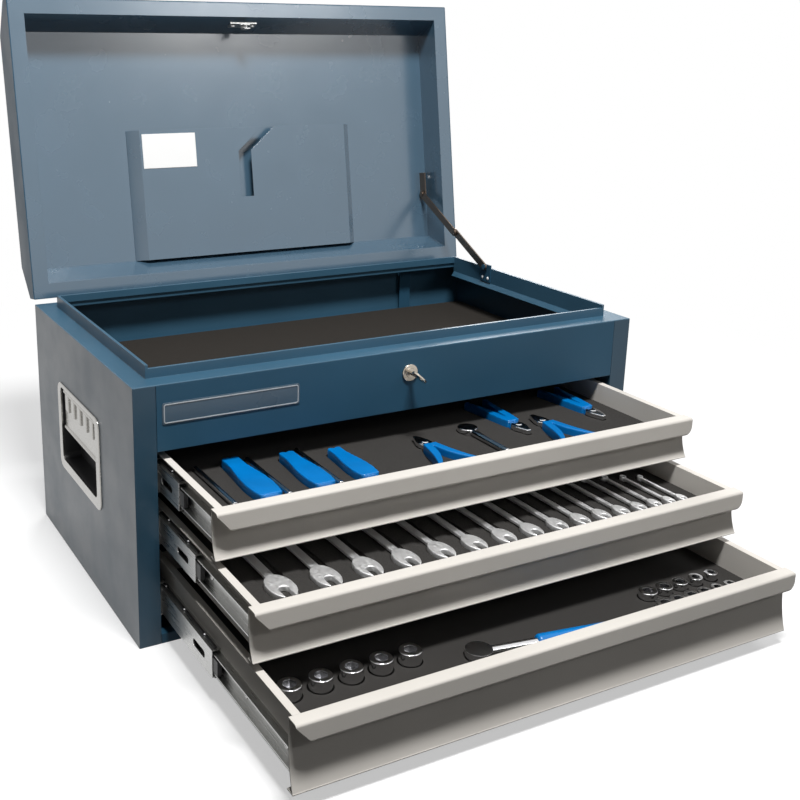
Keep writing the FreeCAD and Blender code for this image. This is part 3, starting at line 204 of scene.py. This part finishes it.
NODE_MATERIALS = {
    BLUE: ("base_pan", "front_fascia", "tray_floor", "lid_shell",
           "stay_cabinet_bracket", "drawer_lock_bar"),
    LIT_BLUE: ("top_rim_frame", "back_panel"),
    SHADED_SIDE_BLUE: ("left_side_panel", "right_side_panel"),
    LIT_LID_BLUE: ("lid_rim_frame", "lid_inner_panel", "document_pocket"),
    DRAWER: tuple(d + part for d in DRAWERS for part in ("_drawer_tray", "_drawer_front")),
    ZINC: ("slide_uprights", "slide_outer_rails", "hinge_cabinet_leaf", "hinge_lid_leaf",
           "hinge_pin", "handle_pins", "lock_bar_spring", "lid_catch", "lock_nut", "lock_cam")
    + tuple(d + part for d in DRAWERS for part in ("_slide_middle", "_slide_inner")),
    STAY: ("stay_lower_arm", "stay_upper_arm", "stay_lid_bracket"),
    CHROME: ("bottom_tray_sockets", "middle_tray_spanners", "top_tray_tool_steel"),
    LOCK_CHROME: ("lock_barrel", "lock_cylinder", "lock_key"),
    DARK_REFLECTION_CHROME: ("handle_bezels", "left_handle_grip", "right_handle_grip"),
    BLACK: ("handle_cups",) + tuple(d + "_slide_cages" for d in DRAWERS),
    GRIP: ("top_tray_tool_grips", "bottom_tray_ratchet_grip"),
    FOAM: tuple(d + "_drawer_foam" for d in DRAWERS) + ("tray_liner",),
    PLATE: ("name_plate",),
    CARD: ("label_plate",),
}


def dress_nodes():
    """Give every CAD node its procedural material."""
    for material, names in NODE_MATERIALS.items():
        for name in names:
            node = NODES[name]
            node.data.materials.clear()
            node.data.materials.append(material)


# Pieces made from the CAD nodes' own shapes

def welded(name):
    """A node's mesh with its split corners joined again, as an editable mesh."""
    bm = bmesh.new()
    bm.from_mesh(NODES[name].data)
    bmesh.ops.remove_doubles(bm, verts=bm.verts, dist=0.01 * mm)
    return bm


def islands(name):
    """Each separate solid of a node, as (corners, faces)."""
    bm = welded(name)
    left_over = set(bm.verts)
    found = []
    while left_over:
        group = {left_over.pop()}
        edge = list(group)
        while edge:
            near = {e.other_vert(v) for v in edge for e in v.link_edges} - group
            group |= near
            edge = list(near)
        left_over -= group
        order = sorted(group, key=lambda v: v.index)
        place = {v: i for i, v in enumerate(order)}
        faces = {f for v in order for f in v.link_faces}
        faces = sorted(faces, key=lambda f: f.index)
        found.append(([v.co.copy() for v in order], [[place[v] for v in f.verts] for f in faces]))
    bm.free()
    return sorted(found, key=lambda part: tuple(round(c, 5) for c in min(part[0], key=lambda v: v[:])))


def extent(points):
    low = Vector([min(p[i] for p in points) for i in range(3)])
    high = Vector([max(p[i] for p in points) for i in range(3)])
    return low, high


def piece_from(name, corners, faces, material, body, slot):
    """A new piece, made from points and faces in the row's frame."""
    mesh = bpy.data.meshes.new(name)
    mesh.from_pydata([tuple(c) for c in corners], [], faces)
    mesh.update()
    return piece(name, mesh, material, body)


def piece(name, mesh, material, body):
    made = bpy.data.objects.new(name, mesh)
    bpy.context.scene.collection.objects.link(made)
    mesh.materials.clear()
    mesh.materials.append(material)
    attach(made, body)
    return made


def bake(made, smooth=True):
    """Apply a piece's modifiers to its mesh."""
    bpy.context.view_layer.update()
    graph = bpy.context.evaluated_depsgraph_get()
    mesh = bpy.data.meshes.new_from_object(made.evaluated_get(graph))
    made.modifiers.clear()
    made.data = mesh
    if smooth:
        mesh.shade_smooth()


def bevel(made, width, segments, angle=30):
    """Round a piece's edges that turn by more than an angle in degrees."""
    edge = made.modifiers.new("edge", "BEVEL")
    edge.width = width
    edge.segments = segments
    edge.limit_method = "ANGLE"
    edge.angle_limit = math.radians(angle)


def softened(name, nodes, voxel, rounds, material, body, slot):
    """A piece that stands for nodes, with their edges rounded by a remesh."""
    corners, faces = [], []
    for node in nodes:
        for points, polygons in islands(node):
            start = len(corners)
            corners += points
            faces += [[i + start for i in polygon] for polygon in polygons]
    made = piece_from(name, corners, faces, material, body, slot)
    remesh = made.modifiers.new("remesh", "REMESH")
    remesh.mode = "VOXEL"
    remesh.voxel_size = voxel * mm
    remesh.use_smooth_shade = True
    smooth = made.modifiers.new("smooth", "SMOOTH")
    smooth.factor = 0.5
    smooth.iterations = rounds
    bake(made)
    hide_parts(*nodes)


def outline_of(points, margin):
    """Convex outline of points seen from above, pushed outwards by a margin."""
    flat = [Vector((p.x, p.y)) for p in points]
    hull = [flat[i] for i in convex_hull_2d(flat)]
    grown = []
    steps = 12
    for point in hull:
        for i in range(steps):
            angle = math.tau * i / steps
            grown.append(point + margin * Vector((math.cos(angle), math.sin(angle))))
    return [grown[i] for i in convex_hull_2d(grown)]


def skin(bm, loops):
    """Faces between each loop of points and the next."""
    for low, high in zip(loops, loops[1:]):
        count = len(low)
        for i in range(count):
            j = (i + 1) % count
            bm.faces.new((low[i], low[j], high[j], high[i]))


def prism(bm, outline, low, high):
    """A closed upright prism over an outline."""
    lower = [bm.verts.new((p.x, p.y, low)) for p in outline]
    upper = [bm.verts.new((p.x, p.y, high)) for p in outline]
    bm.faces.new(lower[::-1])
    bm.faces.new(upper)
    skin(bm, [lower, upper])


def rounded_rectangle(low, high, radius, steps=6):
    """Outline of a rectangle from low to high with rounded corners."""
    centres = ((high[0] - radius, high[1] - radius), (low[0] + radius, high[1] - radius),
               (low[0] + radius, low[1] + radius), (high[0] - radius, low[1] + radius))
    outline = []
    for quarter, (x, y) in enumerate(centres):
        for i in range(steps + 1):
            angle = math.pi / 2 * (quarter + i / steps)
            outline.append(Vector((x + radius * math.cos(angle), y + radius * math.sin(angle))))
    return outline


def object_from(name, bm):
    mesh = bpy.data.meshes.new(name)
    bmesh.ops.recalc_face_normals(bm, faces=bm.faces)
    bm.to_mesh(mesh)
    bm.free()
    made = bpy.data.objects.new(name, mesh)
    bpy.context.scene.collection.objects.link(made)
    return made


RECESS_MARGIN = 1.4 * mm
RECESS_EDGE = 0.5 * mm
CUT_OVERRUN = 5 * mm
MAT_CORNER = 6 * mm
MAT_EDGE = 1.2 * mm
CAGE_EDGE = 0.3 * mm
BALL_LIMIT = 4 * mm


def make_inlay(drawer, tools):
    """Foam inlay with a recess in each tool's own outline."""
    node = drawer + "_drawer_foam"
    low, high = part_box(node)
    bm = bmesh.new()
    slab = [Vector((low.x, low.y)), Vector((high.x, low.y)), Vector((high.x, high.y)),
            Vector((low.x, high.y))]
    prism(bm, slab, low.z, high.z)
    foam = object_from(drawer + "_inlay", bm)
    bm = bmesh.new()
    for tool in tools:
        for points, _ in islands(tool):
            least, _ = extent(points)
            prism(bm, outline_of(points, RECESS_MARGIN), least.z, high.z + CUT_OVERRUN)
    cutter = object_from("cutter", bm)
    boolean = foam.modifiers.new("recesses", "BOOLEAN")
    boolean.object = cutter
    boolean.operation = "DIFFERENCE"
    boolean.solver = "EXACT"
    boolean.use_self = True
    bevel(foam, RECESS_EDGE, 2, 60)
    bake(foam, smooth=False)
    bpy.data.objects.remove(cutter)
    foam.data.materials.clear()
    foam.data.materials.append(FOAM)
    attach(foam, drawer + "_drawer")
    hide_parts(node)


def make_mat():
    """Soft mat on the tray's floor, with rounded corners and edges."""
    low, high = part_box("tray_liner")
    bm = bmesh.new()
    prism(bm, rounded_rectangle(low.xy, high.xy, MAT_CORNER), low.z, high.z)
    mat = object_from("tray_mat", bm)
    bevel(mat, MAT_EDGE, 3)
    bake(mat, smooth=False)
    mat.data.materials.append(FELT)
    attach(mat, "cabinet")
    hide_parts("tray_liner")


def make_cages(drawer):
    """Steel balls and black retainers, from the solids of the slide's cages."""
    node = drawer + "_slide_cages"
    groups = {"balls": ([], []), "retainers": ([], [])}
    for points, polygons in islands(node):
        low, high = extent(points)
        kind = "balls" if max(high - low) < BALL_LIMIT else "retainers"
        corners, faces = groups[kind]
        start = len(corners)
        corners += points
        faces += [[i + start for i in polygon] for polygon in polygons]
    body = drawer + "_slide_travel"
    balls = piece_from(drawer + "_slide_balls", *groups["balls"], CHROME, body, "bright_chrome")
    balls.data.shade_smooth()
    retainers = piece_from(drawer + "_slide_retainers", *groups["retainers"], BLACK, body,
                           "black_plastic")
    bevel(retainers, CAGE_EDGE, 2)
    bake(retainers, smooth=False)
    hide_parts(node)


def dress_tools():
    softened("plier_handles", ["top_tray_tool_grips"], 1.0, 8, GRIP, "top_drawer", "grip_blue")
    softened("plier_heads", ["top_tray_tool_steel"], 0.7, 3, CHROME, "top_drawer",
             "bright_chrome")
    softened("spanners", ["middle_tray_spanners"], 0.7, 6, SATIN, "middle_drawer",
             "bright_chrome")
    make_inlay("top", ["top_tray_tool_grips", "top_tray_tool_steel"])
    make_inlay("middle", ["middle_tray_spanners"])
    make_inlay("bottom", ["bottom_tray_sockets", "bottom_tray_ratchet_grip"])


# Small fasteners and trim

LID_OPEN = math.radians(99.4)
SHEET = 1.2 * mm
SLIDE_REACH = 8.64 * mm
HINGE_ROW = 11 * mm
STAY_ROW = 6 * mm
STAY_FOLD = 2 * mm
STAY_LID_X = 331.5 * mm
STAY_LID_ARM = Vector((0, -141.6 * mm, 46.8 * mm))
HINGE_RIVETS = 11
SCREW_SHARES = (0.055, 0.3, 0.55, 0.93)

# Radius and height of each kind of head
HINGE_HEAD = (2.6 * mm, 1.2 * mm)
STAY_HEAD = (2.8 * mm, 1.3 * mm)
STAY_LID_HEAD = (3.4 * mm, 1.3 * mm)
SCREW_HEAD = (3.4 * mm, 1.6 * mm)

RIM_INSET = 1.6 * mm
RIM_WIDTH = 1.3 * mm
RIM_HEIGHT = 0.5 * mm
RIM_CORNER = 3.0 * mm


def loop_round(bm, centre, axis, radii, height):
    """A closed loop of points round an axis, at one height and with a radius for each point."""
    turn = axis.to_track_quat("Z", "Y")
    loop = []
    for i, radius in enumerate(radii):
        angle = math.tau * i / len(radii)
        offset = Vector((radius * math.cos(angle), radius * math.sin(angle), height))
        loop.append(bm.verts.new(centre + turn @ offset))
    return loop


def dome(bm, centre, axis, radius, height):
    """A round rivet head that stands on a face."""
    sides, rings = 16, 4
    loops = []
    for ring in range(rings):
        angle = math.pi / 2 * ring / rings
        radii = [radius * math.cos(angle)] * sides
        loops.append(loop_round(bm, centre, axis, radii, height * math.sin(angle)))
    top = bm.verts.new(centre + axis.to_track_quat("Z", "Y") @ Vector((0, 0, height)))
    bm.faces.new(loops[0][::-1])
    skin(bm, loops)
    for i in range(sides):
        bm.faces.new((loops[-1][i], loops[-1][(i + 1) % sides], top))


PAN_SIDES = 24
PAN_PROFILE_SHARES = ((1.0, 0.0), (1.0, 0.45), (0.9, 0.8), (0.7, 1.0), (0.42, 1.0))
CROSS_ARM_SHARE = 0.4
CROSS_CORNER_SHARE = 0.16
CROSS_FLOOR_SHARE = 0.45


def pan_head(bm, centre, axis, radius, height):
    """A screw head with a rounded rim and a crossed recess."""
    loops = [loop_round(bm, centre, axis, [radius * r] * PAN_SIDES, height * h)
             for r, h in PAN_PROFILE_SHARES]
    arms = [CROSS_ARM_SHARE if i % 6 in (0, 1, 5) else CROSS_CORNER_SHARE for i in range(PAN_SIDES)]
    floor = loop_round(bm, centre, axis, [radius * arm for arm in arms], height * CROSS_FLOOR_SHARE)
    loops.append(floor)
    bm.faces.new(loops[0][::-1])
    skin(bm, loops)
    bm.faces.new(floor)


def fasteners(name, maker, places, head, material, body):
    """Rivet or screw heads at (centre, axis) places, as one piece."""
    bm = bmesh.new()
    for centre, axis in places:
        maker(bm, centre, axis, *head)
    bmesh.ops.recalc_face_normals(bm, faces=bm.faces)
    mesh = bpy.data.meshes.new(name)
    bm.to_mesh(mesh)
    bm.free()
    piece(name, mesh, material, body)


def lid_swing():
    """A point on the lid's axis, and the turn from the closed lid to the open one."""
    pin_low, pin_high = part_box("hinge_pin")
    return (pin_low + pin_high) / 2, Matrix.Rotation(-LID_OPEN, 3, "X")


def hinge_rivets():
    """Rivets through both leaves of the piano hinge."""
    low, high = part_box("hinge_cabinet_leaf")
    step = (high.x - low.x) / HINGE_RIVETS
    face = low.y + SHEET
    level = low.z + HINGE_ROW
    columns = [low.x + step * (i + 0.5) for i in range(HINGE_RIVETS)]
    backwards = Vector((0, 1, 0))
    fasteners("hinge_cabinet_rivets", dome, [(Vector((x, face, level)), backwards) for x in columns],
              HINGE_HEAD, ZINC, "cabinet")
    axis_point, swing = lid_swing()
    arm = swing @ Vector((0, face - axis_point.y, HINGE_ROW))
    outward = swing @ backwards
    places = [(Vector((x, axis_point.y + arm.y, axis_point.z + arm.z)), outward) for x in columns]
    fasteners("hinge_lid_rivets", dome, places, HINGE_HEAD, ZINC, "lid")


def stay_rivets():
    """Bright rivets that hold the stay's two brackets."""
    low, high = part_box("stay_cabinet_bracket")
    face = high.x - STAY_FOLD
    level = low.z + STAY_ROW
    inwards = Vector((-1, 0, 0))
    fasteners("stay_cabinet_rivets", dome,
              [(Vector((face, low.y + STAY_ROW, level)), inwards),
               (Vector((face, high.y - STAY_ROW, level)), inwards)],
              STAY_HEAD, SATIN, "cabinet")
    axis_point, swing = lid_swing()
    arm = swing @ STAY_LID_ARM
    centre = Vector((STAY_LID_X, axis_point.y + arm.y, axis_point.z + arm.z))
    fasteners("stay_lid_rivet", dome, [(centre, swing @ Vector((0, 0, -1)))],
              STAY_LID_HEAD, SATIN, "lid")


def slide_screws(drawer):
    """Pan head screws that hold the inner slide member to the drawer's wall."""
    low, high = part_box(drawer + "_slide_inner")
    level = (low.z + high.z) / 2
    length = high.y - low.y
    places = []
    for side in (-1, 1):
        face = side * (high.x - SLIDE_REACH + SHEET)
        places += [(Vector((face, low.y + length * share, level)), Vector((side, 0, 0)))
                   for share in SCREW_SHARES]
    fasteners(drawer + "_slide_screws", pan_head, places, SCREW_HEAD, ZINC, drawer + "_drawer")


def frame_on_plate():
    """Raised rim round the blank name plate."""
    low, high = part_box("name_plate")
    inner = RIM_INSET + RIM_WIDTH
    loops = []
    bm = bmesh.new()
    for shift, depth in ((RIM_INSET, 0), (RIM_INSET, RIM_HEIGHT), (inner, RIM_HEIGHT), (inner, 0)):
        outline = rounded_rectangle((low.x + shift, low.z + shift), (high.x - shift, high.z - shift),
                                    RIM_CORNER + RIM_INSET - shift)
        loops.append([bm.verts.new((p.x, low.y - depth, p.y)) for p in outline])
    skin(bm, loops + loops[:1])
    bmesh.ops.recalc_face_normals(bm, faces=bm.faces)
    mesh = bpy.data.meshes.new("name_plate_rim")
    bm.to_mesh(mesh)
    bm.free()
    piece("name_plate_rim", mesh, TRIM, "cabinet")


# Stage: camera, light, floor

FOCAL_PX = 1124.2
PRINCIPAL_PX = (322.635, 327.984)
IMAGE_PX = 800.0
SENSOR = 36.0
CAMERA_AT = Vector((-0.73282, -1.33350, 0.71115))
YAW = 0.49574517
PITCH = 0.26655199
ROLL = 0.01628904

WORLD_LIGHT = 0.035
FLOOR_HALF = 6.0
FLOOR_DROP = 0.5 * mm
FLOOR_BOUNCE = 0.05
FLOOR_SEEN = 0.97
FADE_START = 0.75
FADE_END = 1.5
FADE_LEAST = 0.5

# Each lamp's name, place, target, size and watts
LAMPS = (
    ("key", (-0.30, -1.05, 2.65), (0, -0.15, 0.3), (0.7, 0.4), 92),
    ("front", (1.4, -2.6, 1.95), (0, 0.3, 0.75), (0.9, 0.5), 9),
    ("rear", (1.5, 2.4, 1.8), (0, 0.1, 0.35), (1.5, 1.2), 60),
)


def make_camera():
    data = bpy.data.cameras.new("camera")
    data.sensor_width = SENSOR
    data.lens = FOCAL_PX * SENSOR / IMAGE_PX
    data.shift_x = 0.5 - PRINCIPAL_PX[0] / IMAGE_PX
    data.shift_y = PRINCIPAL_PX[1] / IMAGE_PX - 0.5
    data.clip_start = 0.01
    data.clip_end = 50.0
    camera = bpy.data.objects.new("camera", data)
    bpy.context.scene.collection.objects.link(camera)
    forward = Vector((math.sin(YAW) * math.cos(PITCH), math.cos(YAW) * math.cos(PITCH),
                      -math.sin(PITCH)))
    level = Vector((math.cos(YAW), -math.sin(YAW), 0))
    above = level.cross(forward)
    side = math.cos(ROLL) * level + math.sin(ROLL) * above
    up = math.cos(ROLL) * above - math.sin(ROLL) * level
    turn = Matrix((side, up, -forward)).transposed()
    camera.matrix_world = Matrix.Translation(CAMERA_AT) @ turn.to_4x4()
    bpy.context.scene.camera = camera


def area_light(name, place, target, size, power):
    data = bpy.data.lights.new(name, "AREA")
    data.shape = "RECTANGLE"
    data.size, data.size_y = size
    data.energy = power
    light = bpy.data.objects.new(name, data)
    light.location = place
    light.rotation_mode = "QUATERNION"
    light.rotation_quaternion = (Vector(target) - Vector(place)).to_track_quat("-Z", "Y")
    bpy.context.scene.collection.objects.link(light)


def seen_directly(tree):
    """One for camera, glossy and transmission rays, and zero for the rest."""
    path = add_node(tree, "ShaderNodeLightPath")
    either = add_node(tree, "ShaderNodeMath", operation="MAXIMUM")
    tree.links.new(path.outputs["Is Camera Ray"], either.inputs[0])
    tree.links.new(path.outputs["Is Glossy Ray"], either.inputs[1])
    also = add_node(tree, "ShaderNodeMath", operation="MAXIMUM")
    tree.links.new(either.outputs[0], also.inputs[0])
    tree.links.new(path.outputs["Is Transmission Ray"], also.inputs[1])
    return also.outputs[0]


def mix_shaders(tree, factor, first, second):
    mix = add_node(tree, "ShaderNodeMixShader")
    tree.links.new(factor, mix.inputs["Fac"])
    tree.links.new(first, mix.inputs[1])
    tree.links.new(second, mix.inputs[2])
    return mix.outputs[0]


def make_world():
    """White to the camera and in reflections, with a weaker even light."""
    world = bpy.data.worlds.new("studio")
    bpy.context.scene.world = world
    world.use_nodes = True
    tree = world.node_tree
    lit = tree.nodes["Background"]
    lit.inputs["Color"].default_value = (1, 1, 1, 1)
    lit.inputs["Strength"].default_value = WORLD_LIGHT
    white = add_node(tree, "ShaderNodeBackground")
    white.inputs["Color"].default_value = (1, 1, 1, 1)
    white.inputs["Strength"].default_value = 1.0
    shown = mix_shaders(tree, seen_directly(tree), lit.outputs[0], white.outputs[0])
    tree.links.new(shown, tree.nodes["World Output"].inputs["Surface"])


def make_floor():
    """A white floor that keeps the object's shadow and fades into the white background."""
    mesh = bpy.data.meshes.new("floor")
    signs = ((-1, -1), (1, -1), (1, 1), (-1, 1))
    mesh.from_pydata([(x * FLOOR_HALF, y * FLOOR_HALF, 0) for x, y in signs], [], [(0, 1, 2, 3)])
    floor = bpy.data.objects.new("floor", mesh)
    floor.location.z = -FLOOR_DROP
    bpy.context.scene.collection.objects.link(floor)
    material, tree, shader = shader_nodes("floor")
    shader.inputs["Roughness"].default_value = 0.9
    shader.inputs["Specular IOR Level"].default_value = 0.0
    tone = ramp(tree, seen_directly(tree), [(0.0, grey(FLOOR_BOUNCE)), (1.0, grey(FLOOR_SEEN))])
    tree.links.new(tone, shader.inputs["Base Color"])
    white = add_node(tree, "ShaderNodeEmission")
    white.inputs["Strength"].default_value = 1.0
    coords = add_node(tree, "ShaderNodeTexCoord")
    distance = add_node(tree, "ShaderNodeVectorMath", operation="LENGTH")
    tree.links.new(coords.outputs["Object"], distance.inputs[0])
    spread = add_node(tree, "ShaderNodeMapRange", interpolation_type="SMOOTHSTEP")
    spread.inputs["From Min"].default_value = FADE_START
    spread.inputs["From Max"].default_value = FADE_END
    spread.inputs["To Min"].default_value = FADE_LEAST
    tree.links.new(distance.outputs["Value"], spread.inputs["Value"])
    far = add_node(tree, "ShaderNodeMath", operation="MULTIPLY")
    tree.links.new(spread.outputs["Result"], far.inputs[0])
    tree.links.new(seen_directly(tree), far.inputs[1])
    shown = mix_shaders(tree, far.outputs[0], shader.outputs[0], white.outputs[0])
    tree.links.new(shown, tree.nodes["Material Output"].inputs["Surface"])
    mesh.materials.append(material)


def make_stage():
    bpy.context.scene.view_settings.view_transform = "Standard"
    make_camera()
    make_world()
    make_floor()
    for lamp in LAMPS:
        area_light(*lamp)


dress_nodes()
make_stage()
dress_tools()
make_mat()
for drawer in DRAWERS:
    make_cages(drawer)
    slide_screws(drawer)
hinge_rivets()
stay_rivets()
frame_on_plate()
